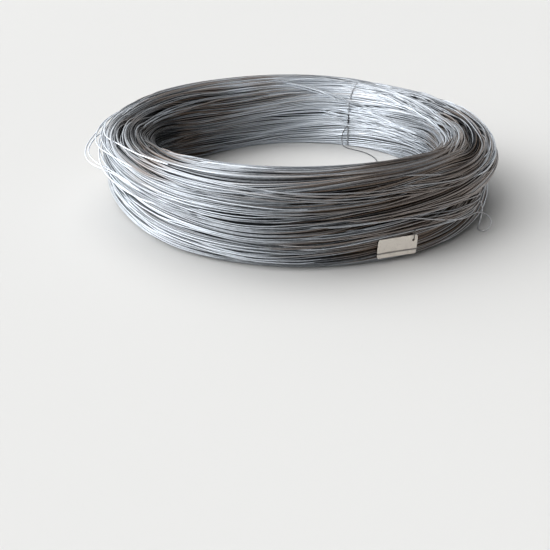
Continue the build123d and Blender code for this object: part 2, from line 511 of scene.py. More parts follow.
def lay_wires(name, tree, lines, radius, material, slot, *replaced, closed=False, **tones):
    """Lays smooth round wires along lines as one piece. The tones go to the tree's inputs of those names."""
    drawing = draw_lines(name + "_lines", lines, closed, smooth=True)
    mesh = mesh_from_tree(
        name, tree, Lines=drawing, Wire_radius=radius, Sides=LAID_WIRE_SIDES, Material=material, **tones
    )
    bpy.data.objects.remove(drawing)
    piece_from(mesh, name, slot, *replaced)


# Finishes

# The wires' finishes: the colours of dark, pale and brown film, and the share of brown
WIRE_FINISHES = {
    "annealed wire": ((0.05, 0.053, 0.058, 1.0), (0.78, 0.83, 0.89, 1.0), (0.22, 0.15, 0.10, 1.0), 0.62),
    # The packed turns are nearly black: painted shade between the outer turns
    "packed turns in painted shade": ((0.015, 0.015, 0.016, 1.0), (0.05, 0.05, 0.053, 1.0), (0.035, 0.026, 0.02, 1.0), 0.6),
    "tie wire": ((0.05, 0.05, 0.055, 1.0), (0.46, 0.48, 0.51, 1.0), (0.14, 0.11, 0.08, 1.0), 0.4),
}

# The patterns in the film, each as (scale, detail)
MOTTLE = (240.0, 3.0)
CLOUD = (8.0, 1.0)
GRAIN = (2200.0, 2.0)
MOTTLE_IN_TONE = 0.38
MOTTLE_IN_BROWN = 0.25
STRAND_IN_BROWN = 0.5
BROWN_RANGE = (0.44, 0.76)  # where brown starts and is full, of cloud, strand and mottle together
NOISE_RANGE = (0.3, 0.7)  # most of a pattern's values lie between these
WIRE_ROUGHNESS = (0.30, 0.48)  # at the two ends of that range
GRAIN_HEIGHT = 0.4  # in heights of the mottle
WIRE_BUMP = (0.25, 0.0002)  # strength and distance

# The card's patterns and colours
SPOTS = (420.0, 4.0)
SPOT_RANGE = (0.56, 0.72)
SPOT_SHARE = 0.3
STAINS = (70.0, 2.0)
STAIN_RANGE = (0.5, 0.7)
STAIN_SHARE = 0.15
CARD_COLOUR = (0.95, 0.88, 0.79, 1.0)
SOIL_COLOUR = (0.50, 0.44, 0.38, 1.0)
# Painted shade along the card's crease
CREASE_PAINTED_SHADE = (0.10, 0.09, 0.085, 1.0)
CARD_ROUGHNESS = (0.45, 0.65)
CARD_BUMP = (0.2, 0.0003)


def annealing_film_group():
    """The film that annealing leaves on drawn steel: dark to pale by strand, with the painted light and
    shade that the strands' tones carry, brown in streaks, mottled.
    """
    inputs = dict.fromkeys(["Dark film", "Pale film", "Brown film"], COLOUR)
    inputs.update(dict.fromkeys(["Brown share", "Strand tone and painted light", "Strand brown"], NUMBER))
    outputs = {"Color": COLOUR, "Roughness": NUMBER, "Height": NUMBER}
    make, given, result = new_tree("annealing film", "ShaderNodeTree", inputs, outputs)
    mottle = make.patches(*MOTTLE)
    cloud = make.patches(*CLOUD)
    grain = make.patches(*GRAIN)
    tone = given["Strand tone and painted light"] + (mottle - 0.5) * MOTTLE_IN_TONE
    film = make.blend(make.ramp(tone, 0.0, 1.0), given["Dark film"], given["Pale film"])
    strand = (given["Strand brown"] - 0.5) * STRAND_IN_BROWN
    streak = cloud + strand + (mottle - 0.5) * MOTTLE_IN_BROWN
    brown = make.ramp(streak, *BROWN_RANGE) * given["Brown share"]
    make.feed(result["Color"], make.blend(brown, film, given["Brown film"]))
    make.feed(result["Roughness"], make.ramp(mottle, *NOISE_RANGE, *WIRE_ROUGHNESS))
    make.feed(result["Height"], grain * GRAIN_HEIGHT + mottle)
    return make.tree


def new_material(name):
    """A material, the maker of its nodes, and the inputs of its surface."""
    material = bpy.data.materials.new(name)
    material.use_nodes = True
    surface = material.node_tree.nodes["Principled BSDF"]
    return material, Maker(material.node_tree), surface.inputs


def finish_surface(make, surface, colour, roughness, height, strength, distance):
    """Feeds a surface its colour and roughness, and a bump of this strength and distance."""
    bump = make.node("ShaderNodeBump", {"Strength": strength, "Distance": distance, "Height": height})
    make.feed(surface["Base Color"], colour)
    make.feed(surface["Roughness"], roughness)
    make.feed(surface["Normal"], bump.outputs["Normal"])


def wire_material(name, group):
    material, make, surface = new_material(name)
    surface["Metallic"].default_value = 1.0
    values = dict(zip(("Dark film", "Pale film", "Brown film", "Brown share"), WIRE_FINISHES[name]))
    for label, attribute in (("Strand tone and painted light", "strand_tone"), ("Strand brown", "strand_brown")):
        values[label] = make.node("ShaderNodeAttribute", attribute_name=attribute).outputs["Fac"]
    film = make.node("ShaderNodeGroup", node_tree=group)
    for label, value in values.items():
        make.feed(film.inputs[label], value)
    finish_surface(
        make, surface, film.outputs["Color"], film.outputs["Roughness"], film.outputs["Height"], *WIRE_BUMP
    )
    return material


def tag_material():
    """White card, a little soiled, with painted shade along its crease."""
    material, make, surface = new_material("soiled white card")
    spots = make.patches(*SPOTS)
    stains = make.patches(*STAINS)
    crease_shade = make.node("ShaderNodeAttribute", attribute_name="crease_shade").outputs["Fac"]
    soil = make.ramp(spots, *SPOT_RANGE) * SPOT_SHARE + make.ramp(stains, *STAIN_RANGE) * STAIN_SHARE
    colour = make.blend(crease_shade, make.blend(soil, CARD_COLOUR, SOIL_COLOUR), CREASE_PAINTED_SHADE)
    roughness = make.ramp(stains, *NOISE_RANGE, *CARD_ROUGHNESS)
    finish_surface(make, surface, colour, roughness, spots, *CARD_BUMP)
    return material


# The wound turns

# Painted light and shade on the turns, paler where light falls and darker where shade falls:
# azimuth, reach, the ways between which it holds, and how much it adds to their tone
PAINTED_LIGHT_AND_SHADE_ZONES = [
    (78, 32, -0.010, 0.112, 0.88),
    (90, 28, 0.105, 0.165, 1.00),
    (18, 34, 0.104, 0.190, -0.12),
    (-25, 20, 0.118, 0.170, -0.34),
    (226, 30, 0.165, 0.290, 0.24),
    (272, 34, 0.150, 0.290, -0.26),
    (196, 32, 0.070, 0.142, -0.58),
    (135, 36, 0.080, 0.150, -0.28),
    (165, 30, 0.010, 0.100, -0.32),
]
PAINTED_LIGHT_ZONE_FADE = 0.014
DIP_PAINTED_SHADE = 36.0  # painted shade: how much tone is taken off for each metre that a turn lies sunk in a dip
TURN_TONE_SPREAD = 0.48
SHINE_SPREAD = 0.18
DIP_SPREAD = 0.8  # how far a dip pushes turns aside, as a share of their way from its middle
KINK_SHARE = 0.09  # of the wander

# Noise that neighbouring turns share: its reach round the coil, where a longer one makes shorter waves,
# its width along the section, and its seed
SHARED_NOISE = {"sway": (1.0, 0.070, 0.1), "gather": (1.9, 0.011, 10.1), "lump": (2.2, 0.009, 40.1)}

# Noise of each turn's own: its reach, its stride from one turn to the next, and its seed
OWN_NOISE = {
    "wander": (1.2, 7.3, 20.1),
    "kink": (7.0, 3.7, 30.1),
    "ripple": (2.2, 5.9, 50.1),
    "shine": (1.5, 4.1, 60.1),
}


def wound_turns_tree():
    """Closed turns side by side round the whole section, rolling together and gathered in bundles."""
    numbers = ["Depth", "Sway", "Gather", "Lumps", "Wander", "Ripple", "Thinning", "Tone", "Wire radius"]
    numbers += ["Flow seed", "Seed"]
    inputs = {"Section": OBJECT, "Turns": COUNT, "Steps": COUNT, "Material": MATERIAL}
    inputs.update(dict.fromkeys(numbers, NUMBER))
    make, given, result = new_tree("wound turns", "GeometryNodeTree", inputs, {"Geometry": SHAPE})
    section = make.node("GeometryNodeObjectInfo", {"Object": given["Section"]}).outputs["Geometry"]

    starts = make.node("GeometryNodePoints", {"Count": given["Turns"]}).outputs[0]
    circle = make.node("GeometryNodeCurvePrimitiveCircle", {"Resolution": given["Steps"], "Radius": 1.0})
    laid = make.node("GeometryNodeInstanceOnPoints", {"Points": starts, "Instance": circle.outputs["Curve"]})
    rings = make.node("GeometryNodeRealizeInstances", {"Geometry": laid.outputs["Instances"]}).outputs[0]
    index = Value(make, make.node("GeometryNodeCurveOfPoint").outputs["Curve Index"])
    angle = Value(make, make.node("GeometryNodeSplineParameter").outputs["Factor"]) * math.tau
    cosine, sine = make.cos(angle), make.sin(angle)
    way = (index + 0.5) / given["Turns"] * SECTION_GIRTH

    def closed_noise(reach, across, seed):
        """Noise that closes on itself round the coil."""
        return make.noise(make.join(cosine * reach, sine * reach, across), seed)

    def shared_noise(kind):
        reach, width, seed = SHARED_NOISE[kind]
        return closed_noise(reach, way / width, given["Flow seed"] + seed)

    def own_noise(kind):
        reach, stride, seed = OWN_NOISE[kind]
        return closed_noise(reach, index * stride, given["Seed"] + seed)

    sway = shared_noise("sway") * given["Sway"]
    gather = shared_noise("gather") * given["Gather"]
    wander = own_noise("wander") * given["Wander"]
    kink = own_noise("kink") * given["Wander"] * KINK_SHARE
    moved = way + sum_waves(make, angle, ROLL_WAVES) + sway + gather + wander + kink
    lump = shared_noise("lump") * given["Lumps"]
    ripple = own_noise("ripple") * given["Ripple"]
    pinched = nearness(make, angle, TIE_AZIMUTH, PINCH_ANGLE)
    deep = given["Depth"] + (lump + ripple) * (1.0 - pinched) + pinched * PINCH_DEPTH
    sunk = 0.0
    for dip in DIPS:
        width, depth = dip[-2:]
        across, share = dip_at(make, dip, angle, moved)
        sunk = share * depth + sunk
        moved = moved + across * share * width * DIP_SPREAD
    deep = deep + sunk
    for swell in SWELLS:
        deep = deep + dip_at(make, swell, angle, moved)[1] * swell[-1]

    around = make.math("FLOORED_MODULO", moved, SECTION_GIRTH)
    values = {"Curves": section, "Length": around}
    sample = make.node("GeometryNodeSampleCurve", values, mode="LENGTH", use_all_curves=True)
    radius, _, height = make.split(sample.outputs["Position"])
    outwards, _, upwards = make.split(sample.outputs["Tangent"])
    reach, rise = distort(make, angle, radius + upwards * deep, height - outwards * deep)
    rise = make.math("MAXIMUM", rise, given["Wire radius"])
    values = {"Geometry": rings, "Position": make.join(reach * cosine, reach * sine, rise)}
    placed = make.node("GeometryNodeSetPosition", values).outputs[0]
    turn = index + given["Seed"]
    left_out = make.math("LESS_THAN", make.white(turn + THINNING_DRAW), given["Thinning"])
    values = {"Geometry": placed, "Selection": left_out}
    kept = make.node("GeometryNodeDeleteGeometry", values, domain="POINT").outputs[0]

    random_tone = (make.white(turn) - 0.5) * TURN_TONE_SPREAD
    tone = given["Tone"] + random_tone + own_noise("shine") * SHINE_SPREAD
    # Painted light and shade: paler where light falls, darker where shade falls
    for azimuth, spread, low, high, gain in PAINTED_LIGHT_AND_SHADE_ZONES:
        above_low = make.ramp(around, low - PAINTED_LIGHT_ZONE_FADE, low)
        below_high = make.ramp(around, high, high - PAINTED_LIGHT_ZONE_FADE)
        tone = tone + above_low * below_high * nearness(make, angle, azimuth, spread) * gain
    # Painted shade on the turns that lie sunk in the dips
    tone = tone - sunk * DIP_PAINTED_SHADE
    brownness = make.white(turn + BROWN_DRAW)
    turns = round_wires(make, kept, given["Wire radius"], WIRE_SIDES, given["Material"], tone, brownness)
    make.feed(result["Geometry"], turns)
    return make.tree


# What the layers of turns share, but for their own values. One flow lets gaps between bundles go deep.
SHARED_LAYER = dict(Turns=157, Sway=0.009, Gather=0.0052, Lumps=0.0017, Thinning=0.0, Flow_seed=3.0)

# The layers of turns from the outermost in, and the turns that cross over them. Each deeper layer's lower
# Tone is painted shade, with some oxide dust too.
LAYERS = {
    "outer_turns": dict(
        Steps=144, Depth=0.0010, Wander=0.0016, Ripple=0.0007, Thinning=0.19, Tone=0.57, Seed=5.0
    ),
    "second_turns": dict(
        Steps=130, Depth=0.0031, Wander=0.0022, Ripple=0.0009, Thinning=0.08, Tone=0.20, Seed=41.0
    ),
    "third_turns": dict(
        Steps=100, Depth=0.0054, Gather=0.0050, Lumps=0.0018, Wander=0.0018, Ripple=0.0006, Tone=0.06,
        Seed=77.0,
    ),
    "crossing_turns": dict(
        Turns=40, Steps=180, Depth=-0.0002, Wander=0.0110, Ripple=0.0010, Tone=0.58, Seed=112.0
    ),
}


def make_wound_turns(material):
    tree = wound_turns_tree()
    outline = [(place.x, 0.0, place.y) for place in SECTION]
    section = draw_lines("section", [outline], closed=True, smooth=False)
    for name, own_values in LAYERS.items():
        values = {**SHARED_LAYER, **own_values}
        mesh = mesh_from_tree(
            name, tree, Section=section, Wire_radius=WIRE_RADIUS, Material=material, **values
        )
        replaced = ["wire_coil"] if name == "outer_turns" else []
        piece_from(mesh, name, "annealed_wire", *replaced)
    bpy.data.objects.remove(section)


# The imported turns inside, finished nearly black as painted shade, which only show as darkness between the
# outer ones
CORE_DEPTH = 0.0078
CORE_STEPS = 144
CORE_SIDES = 84


def make_core(material):
    mesh = bpy.data.meshes.new("packed_core")
    build = bmesh.new()
    loops = []
    for step in range(CORE_STEPS):
        azimuth = 360 * step / CORE_STEPS
        ways = [SECTION_GIRTH * side / CORE_SIDES for side in range(CORE_SIDES)]
        places = [on_skin(azimuth, way, CORE_DEPTH + pinch(azimuth) + hollow(azimuth, way)) for way in ways]
        loops.append([build.verts.new(place) for place in places])
    for step in range(CORE_STEPS):
        here, after = loops[step], loops[(step + 1) % CORE_STEPS]
        for side in range(CORE_SIDES):
            beside = (side + 1) % CORE_SIDES
            build.faces.new((here[side], after[side], after[beside], here[beside]))
    bmesh.ops.recalc_face_normals(build, faces=build.faces)
    build.to_mesh(mesh)
    build.free()
    mesh.materials.append(material)
    mesh.shade_smooth()
    piece_from(mesh, "packed_core", "annealed_wire")


# Bundles that lie over the other turns, with both ends tucked in among them: strands, spacing, rise,
# and a route of azimuths and ways along the section in millimetres
BUNDLES = {
    "left shoulder": (9, 0.0026, 0.0036, [
        (172, 132), (190, 146), (205, 161), (214, 170), (223, 177), (231, 182), (245, 187), (262, 191),
        (284, 196)]),
    "left flank": (8, 0.0024, 0.0026, [
        (180, 168), (196, 186), (207, 196), (212, 201), (219, 206), (232, 213), (244, 218), (256, 222),
        (270, 224)]),
    "right front": (6, 0.0020, 0.0012, [
        (246, 182), (262, 186), (278, 189), (292, 191), (306, 193), (322, 192)]),
    "outer band": (9, 0.0024, 0.0030, [
        (284, 176), (300, 184), (312, 189), (322, 187), (331, 181), (341, 171), (352, 160), (364, 152),
        (378, 147), (395, 146), (412, 150), (428, 156)]),
    "inner band": (7, 0.0024, 0.0022, [
        (304, 160), (314, 154), (324, 142), (336, 130), (349, 121), (364, 116), (385, 115), (408, 121),
        (428, 130)]),
    "back slope": (6, 0.0023, 0.0020, [
        (92, 102), (120, 97), (140, 98), (160, 102), (178, 108), (190, 116), (208, 130)]),
    "mouth": (5, 0.0020, 0.0014, [
        (210, 132), (235, 124), (255, 122), (275, 124), (295, 126), (315, 132), (340, 141)]),
    "back top": (12, 0.0026, 0.0022, [
        (30, 137), (48, 141), (68, 147), (86, 151), (104, 152), (122, 150), (145, 153), (165, 162),
        (190, 178)]),
    "foot of the left flank": (9, 0.0024, 0.0026, [
        (192, 212), (203, 222), (212, 231), (220, 240), (228, 248), (237, 254), (248, 258), (262, 261),
        (280, 262)]),
    "lower band": (8, 0.0024, 0.0022, [
        (260, 247), (274, 243), (288, 238), (300, 237), (313, 241), (326, 247), (340, 251)]),
    "edge over the lower band": (5, 0.0021, 0.0022, [
        (266, 229), (280, 225), (296, 221), (310, 221), (324, 225), (338, 229), (352, 231)]),
}
PALE_BUNDLES = {
    "lip": (4, 0.0026, 0.0016, [
        (122, 138), (112, 134), (103, 128), (94, 117), (87, 110), (77, 99), (70, 91), (62, 84),
        (52, 76), (38, 64), (26, 56), (14, 49)]),
    "right top": (9, 0.0030, 0.0018, [
        (78, 138), (62, 128), (46, 118), (30, 111), (14, 108), (0, 109), (-14, 114), (-28, 124),
        (-42, 137)]),
    "right end": (8, 0.0030, 0.0024, [
        (46, 160), (30, 162), (14, 167), (0, 174), (-14, 184), (-28, 193), (-42, 199)]),
    "eye's right wall": (7, 0.0040, 0.0012, [
        (84, 66), (70, 60), (54, 55), (40, 52), (24, 52), (8, 56)]),
}
BUNDLE_SEED = 11
BUNDLE_STEP = 4.0  # degrees between the points of a strand
BUNDLE_STAGGER = 0.22  # the largest share of its bundle's route that a strand lacks at each end
TUCK_SHARE = 0.12  # the share of its length in which a strand's end goes under
TUCK_DEPTH = 0.0045

# The waves by which a strand strays sideways: how many, their half turns over its length, and their size
# in strand spacings
STRAY_WAVES = 2
STRAY_TURNS = (1.0, 3.5)
STRAY_SIZES = (0.25, 0.7)

# How high a strand lies, in shares of its bundle's rise: all strands, their wave and its angle over
# a strand's length, and what every second strand has more
BASE_LIFT = 0.55
WAVE_LIFT = 0.25
WAVE_LIFT_ANGLE = 5.0
SECOND_LIFT = 0.45


def ease(share):
    """A share from 0 to 1, with a soft start and end."""
    return share * share * (3 - 2 * share)


def route_way(route, azimuth):
    """The way along the section at an azimuth, on a smooth curve through the route's points."""
    i = max(k for k in range(len(route) - 1) if route[k][0] <= azimuth)
    before = route[max(i - 1, 0)]
    here, after = route[i], route[i + 1]
    beyond = route[min(i + 2, len(route) - 1)]
    gap = after[0] - here[0]
    t = (azimuth - here[0]) / gap
    start_slope = (after[1] - before[1]) / (after[0] - before[0]) * gap
    end_slope = (beyond[1] - here[1]) / (beyond[0] - here[0]) * gap
    way = here[1] + (after[1] - here[1]) * ease(t)
    way += start_slope * t * (1 - t) ** 2 - end_slope * t * t * (1 - t)
    return way / 1000


def bundle_lines(strands, spacing, rise, route, chance):
    """The lines of a bundle's strands, side by side along its route."""
    route = sorted(route)
    first, last = route[0][0], route[-1][0]
    lines = []
    for strand in range(strands):
        start = first + chance.uniform(0, BUNDLE_STAGGER) * (last - first)
        end = last - chance.uniform(0, BUNDLE_STAGGER) * (last - first)
        waves = []
        for _ in range(STRAY_WAVES):
            turns, phase = chance.uniform(*STRAY_TURNS), chance.uniform(0, math.tau)
            waves.append((turns, phase, chance.uniform(*STRAY_SIZES)))
        count = round((end - start) / BUNDLE_STEP)
        points = []
        for step in range(count + 1):
            share = step / count
            azimuth = start + (end - start) * share
            stray = sum(size * math.sin(turns * math.pi * share + phase) for turns, phase, size in waves)
            beside = (strand - (strands - 1) / 2 + stray) * spacing
            shown = ease(min(1.0, share / TUCK_SHARE, (1 - share) / TUCK_SHARE))
            wave = WAVE_LIFT * waves[0][2] * math.sin(WAVE_LIFT_ANGLE * share + waves[1][1])
            lift = rise * (BASE_LIFT + wave + SECOND_LIFT * (strand % 2))
            depth = TUCK_DEPTH * (1 - shown) - lift * shown
            way = route_way(route, azimuth) + beside
            points.append(on_skin(azimuth, way, depth + hollow(azimuth, way)))
        lines.append(points)
    return lines


def make_bundles(tree, material):
    chance = random.Random(BUNDLE_SEED)
    lines = [line for bundle in BUNDLES.values() for line in bundle_lines(*bundle, chance)]
    pale_lines = [line for bundle in PALE_BUNDLES.values() for line in bundle_lines(*bundle, chance)]
    lay_wires(
        "pale_bundles", tree, pale_lines, WIRE_RADIUS, material, "annealed_wire",
        Tone=0.80, Tone_spread=0.5, Brown=-0.4, Seed=57.0,
    )
    lay_wires(
        "crossing_bundles", tree, lines, WIRE_RADIUS, material, "annealed_wire",
        Tone=0.50, Tone_spread=0.48, Brown=0.0, Seed=7.0,
    )


# The turns that have sprung out of the ring at its left: azimuth, radius and height of each point
SPRUNG_TURNS = [
    [(158, 0.288, 0.106), (170, 0.298, 0.1015), (177.5, 0.306, 0.098), (183, 0.310, 0.0955),
     (188, 0.314, 0.093), (194, 0.322, 0.091), (200, 0.329, 0.089), (204.5, 0.332, 0.087),
     (208, 0.330, 0.084), (210.5, 0.323, 0.081), (212, 0.315, 0.078), (215, 0.306, 0.075),
     (221, 0.3005, 0.071), (229, 0.297, 0.067)],
    [(158, 0.276, 0.11), (168, 0.280, 0.108), (176, 0.282, 0.1065), (181, 0.286, 0.105),
     (185, 0.2915, 0.102), (188.5, 0.299, 0.099), (192, 0.309, 0.096), (196, 0.3175, 0.093),
     (199.5, 0.3235, 0.0905), (203, 0.326, 0.088), (206, 0.324, 0.085), (208.5, 0.319, 0.082),
     (211, 0.311, 0.079), (215, 0.304, 0.076), (224, 0.298, 0.071)],
    [(156, 0.284, 0.108), (169, 0.298, 0.103), (178, 0.3055, 0.101), (184, 0.3075, 0.1005),
     (190.5, 0.309, 0.1), (196, 0.311, 0.1), (202, 0.312, 0.1), (207, 0.311, 0.1),
     (211, 0.3085, 0.1005), (215, 0.3055, 0.1), (221, 0.303, 0.0985), (229, 0.300, 0.0955),
     (240, 0.2975, 0.092)],
    [(172, 0.274, 0.1105), (181, 0.282, 0.1065), (187, 0.2895, 0.102), (191, 0.2965, 0.098),
     (195.5, 0.302, 0.0945), (200, 0.3075, 0.091), (204.5, 0.312, 0.0875), (208.5, 0.3155, 0.084),
     (212, 0.3175, 0.0805), (215.5, 0.3185, 0.0765), (219, 0.3175, 0.073), (222.5, 0.315, 0.069),
     (226, 0.311, 0.0645), (230, 0.3055, 0.0605), (236, 0.299, 0.058)],
    [(160, 0.292, 0.106), (172, 0.301, 0.1015), (180.5, 0.304, 0.1), (186.5, 0.2985, 0.1025),
     (192, 0.2975, 0.1035), (198, 0.2965, 0.1045), (203, 0.294, 0.1065), (208, 0.291, 0.1085),
     (213.5, 0.2885, 0.11), (219, 0.288, 0.1105), (226, 0.2885, 0.1105), (236, 0.287, 0.11)],
    [(164, 0.294, 0.1045), (176, 0.3035, 0.1005), (186, 0.303, 0.1005), (195, 0.3035, 0.0995),
     (204, 0.3025, 0.0985), (213, 0.3015, 0.096), (223, 0.3015, 0.092), (235, 0.3005, 0.086),
     (248, 0.298, 0.08)],
    [(168, 0.299, 0.098), (178, 0.3045, 0.093), (188, 0.3075, 0.0895), (197, 0.309, 0.0855),
     (206, 0.308, 0.08), (214, 0.3055, 0.074), (222, 0.3015, 0.0685), (230, 0.297, 0.064)],
    [(180, 0.2975, 0.083), (190, 0.3025, 0.077), (200, 0.3045, 0.0705), (210, 0.3040, 0.064),
     (219, 0.301, 0.058), (228, 0.296, 0.0535)],
]


def placed_line(points):
    return [ring_point(*point) for point in points]


def make_sprung_turns(tree, material):
    lines = [placed_line(points) for points in SPRUNG_TURNS]
    lay_wires(
        "sprung_turns", tree, lines, WIRE_RADIUS, material, "annealed_wire", "loose_turns",
        Tone=0.95, Tone_spread=0.3, Brown=-0.4, Seed=21.0,
    )


# The wire's free end, which slides down the flank and curls up beside its foot: azimuth, radius and height
WIRE_END = [
    (-70, 0.2965, 0.0590), (-66, 0.3010, 0.0575), (-61.5, 0.3015, 0.0540), (-56.5, 0.3015, 0.0465),
    (-51.2, 0.3015, 0.0385), (-46.4, 0.3015, 0.0320), (-42.8, 0.3018, 0.0278), (-39.4, 0.3030, 0.0276),
    (-37.0, 0.3052, 0.0284), (-35.9, 0.3085, 0.0275), (-35.0, 0.3138, 0.0258), (-34.6, 0.3200, 0.0215),
    (-34.7, 0.3235, 0.0165), (-35.0, 0.3242, 0.0115), (-35.7, 0.3228, 0.0058), (-36.4, 0.3170, 0.0020),
    (-36.2, 0.3100, 0.0014), (-35.3, 0.3080, 0.0046), (-34.7, 0.3078, 0.0092), (-33.8, 0.3073, 0.0162),
    (-33.2, 0.3072, 0.0242), (-32.9, 0.3050, 0.0312), (-32.6, 0.3018, 0.0372),
]


def make_wire_end(tree, material):
    lay_wires(
        "wire_end_curl", tree, [placed_line(WIRE_END)], WIRE_RADIUS, material, "annealed_wire", "wire_end",
        Tone=0.7, Tone_spread=0.0, Brown=-0.3, Seed=1.0,
    )


# The tie's tail, down the bore wall and across the floor: inwards from the wall, sideways, and height
TAIL_ROUTE = [
    (-0.0022, 0.0000, 0.0490), (-0.0004, 0.0008, 0.0410), (0.0022, 0.0050, 0.0335), (0.0030, 0.0092, 0.0255),
    (0.0030, 0.0106, 0.0165), (0.0038, 0.0096, 0.0085), (0.0080, 0.0060, 0.0024), (0.0130, -0.0040, 0.0013),
    (0.0172, -0.0160, 0.0013), (0.0202, -0.0275, 0.0013), (0.0242, -0.0400, 0.0013),
    (0.0310, -0.0525, 0.0013), (0.0425, -0.0650, 0.0013), (0.0560, -0.0760, 0.0013),
    (0.0720, -0.0840, 0.0013),
]
TIE_STEPS = 62
TIE_CLEARANCE = 0.0004
TIE_SEAT_DEPTH = PINCH_DEPTH - TIE_RADIUS - TIE_CLEARANCE
TWIST_FOOT = 0.044
TWIST_TOP = 0.060
TWIST_TURNS = 2.5
TWIST_STEPS = 30


def tie_point(radius, sideways, height):
    """A point by its distance from the coil's axis, its distance beside the tie, and its height."""
    angle = math.radians(TIE_AZIMUTH)
    outwards = Vector((math.cos(angle), math.sin(angle), 0))
    beside = Vector((-math.sin(angle), math.cos(angle), 0))
    shift = sum_waves(math, angle, EYE_WAVES)
    return outwards * (radius + shift) + beside * sideways + Vector((0, 0, height))


def make_tie(tree, material):
    """Two strands round the waist, their twist on the bore side, and one tail on the floor."""
    loops = []
    for side in (-1, 1):
        azimuth = TIE_AZIMUTH + math.degrees(side * TIE_STRAND_SPACING / 2 / OUTER_RADIUS)
        ways = [SECTION_GIRTH * step / TIE_STEPS for step in range(TIE_STEPS)]
        places = [on_skin(azimuth, way, TIE_SEAT_DEPTH) for way in ways]
        for place in places:
            place.z = max(place.z, TIE_RADIUS)
        loops.append(places)
    lay_wires(
        "tie_loops", tree, loops, TIE_RADIUS, material, "tie_wire", "tie_wire",
        closed=True, Tone=0.9, Tone_spread=0.1, Brown=-0.3, Seed=2.0,
    )
    twist_radius = TIE_STRAND_SPACING / 2
    twist_place = BORE_RADIUS + TIE_SEAT_DEPTH - TIE_RADIUS - twist_radius
    lines = []
    for start in (0, math.pi):
        helix = []
        for step in range(TWIST_STEPS + 1):
            share = step / TWIST_STEPS
            angle = start + math.tau * TWIST_TURNS * share
            height = TWIST_FOOT + (TWIST_TOP - TWIST_FOOT) * share
            inner = twist_place + twist_radius * math.cos(angle)
            helix.append(tie_point(inner, twist_radius * math.sin(angle), height))
        lines.append(helix)
    tail = [tie_point(BORE_RADIUS - inward, sideways, height) for inward, sideways, height in TAIL_ROUTE]
    lines.append(tail)
    lay_wires(
        "tie_twist", tree, lines, TIE_RADIUS, material, "tie_wire", "tie_wire",
        Tone=0.12, Tone_spread=0.1, Brown=0.0, Seed=4.0,
    )


# The tag
TAG_WIDTH = 0.056
TAG_HEIGHT = 0.025
TAG_THICKNESS = 0.0008
TAG_AZIMUTH = -66.0
TAG_CENTRE_HEIGHT = 0.0205
TAG_TILT = -2.0
TAG_STANDOFF = 0.0016
TAG_COLUMNS = 44
TAG_ROWS = 24
TAG_CURL = 0.0006  # how far its left and right edges stand out
CORNER_PULL = 0.0016  # how far its round corners are drawn in
CORNER_POWERS = (12, 6)  # how sharply that grows along it and up it
FOLD_HEIGHT = -0.0067  # the fold's height above the tag's middle
FOLD_WIDTH = 0.0008
FOLD_DEPTH = 0.0004
# how strongly the painted shade darkens the crease
CREASE_SHADE_STRENGTH = 1.3
FLAP_LIFT = 0.0007  # how far the card stands out at FLAP_REACH under the fold
FLAP_REACH = 0.005
EYELET_RADIUS = 0.002
EYELET_INSET = (0.0055, 0.0065)  # from the tag's right and upper edges
EYELET_PLACE = (TAG_WIDTH / 2 - EYELET_INSET[0], TAG_HEIGHT / 2 - EYELET_INSET[1])
EYELET_SIDES = 24
PUNCH_LENGTH = 0.02

# The wire through its eyelet
TAG_WIRE_RADIUS = 0.0005
TAG_WIRE_CLEARANCE = 0.0003
TAG_LOOP_LENGTH = 0.013
TAG_LOOP_FRONT = 0.0018
TAG_LOOP_BACK = -0.0012


def tag_frame():
    """The tag's own place: X along it, Y up it, and Z out of the ring."""
    angle = math.radians(TAG_AZIMUTH)
    outwards = Vector((math.cos(angle), math.sin(angle), 0))
    along = Vector((-math.sin(angle), math.cos(angle), 0))
    origin = outwards * (OUTER_RADIUS + TAG_STANDOFF) + Vector((0, 0, TAG_CENTRE_HEIGHT))
    axes = Matrix((along, Vector((0, 0, 1)), outwards)).transposed().to_4x4()
    return Matrix.Translation(origin) @ axes @ Matrix.Rotation(math.radians(TAG_TILT), 4, "Z")


def card_mesh():
    """The card as a thin sheet with round corners, curled and folded. The painted shade along its crease is
    stored for the finish.
    """
    build = bmesh.new()
    bmesh.ops.create_grid(build, x_segments=TAG_COLUMNS, y_segments=TAG_ROWS, size=0.5)
    crease_shade = build.verts.layers.float.new("crease_shade")
    for vert in build.verts:
        x, y = vert.co.x * TAG_WIDTH, vert.co.y * TAG_HEIGHT
        along, up = abs(vert.co.x * 2), abs(vert.co.y * 2)
        corner = CORNER_PULL * (along ** CORNER_POWERS[0]) * (up ** CORNER_POWERS[1])
        x -= math.copysign(corner, x)
        crease = math.exp(-(((y - FOLD_HEIGHT) / FOLD_WIDTH) ** 2))
        vert[crease_shade] = min(crease * CREASE_SHADE_STRENGTH, 1.0)
        curl = TAG_CURL * along ** 2 + FLAP_LIFT * max(FOLD_HEIGHT - y, 0) / FLAP_REACH
        vert.co = Vector((x, y, -FOLD_DEPTH * crease + curl))
    mesh = bpy.data.meshes.new("tag_card")
    build.to_mesh(mesh)
    build.free()
    return mesh


def eyelet_punch():
    """A round bar where the eyelet is cut out."""
    build = bmesh.new()
    bmesh.ops.create_cone(
        build, cap_ends=True, segments=EYELET_SIDES, radius1=EYELET_RADIUS, radius2=EYELET_RADIUS,
        depth=PUNCH_LENGTH,
    )
    bmesh.ops.translate(build, verts=build.verts, vec=(*EYELET_PLACE, 0))
    mesh = bpy.data.meshes.new("eyelet_punch")
    build.to_mesh(mesh)
    build.free()
    return new_object("eyelet_punch", mesh)


def make_tag(material):
    mesh = card_mesh()
    mesh.materials.append(material)
    card = new_object("tag_card_form", mesh)
    thicken = card.modifiers.new("thickness", "SOLIDIFY")
    thicken.thickness = TAG_THICKNESS
    thicken.offset = 0.0
    punch = eyelet_punch()
    cut = card.modifiers.new("eyelet", "BOOLEAN")
    cut.object = punch
    cut.operation = "DIFFERENCE"
    shape = plain_mesh(card)
    bpy.data.objects.remove(punch)
    shape.transform(tag_frame())
    piece_from(shape, "tag_card", "tag", "coil_tag")


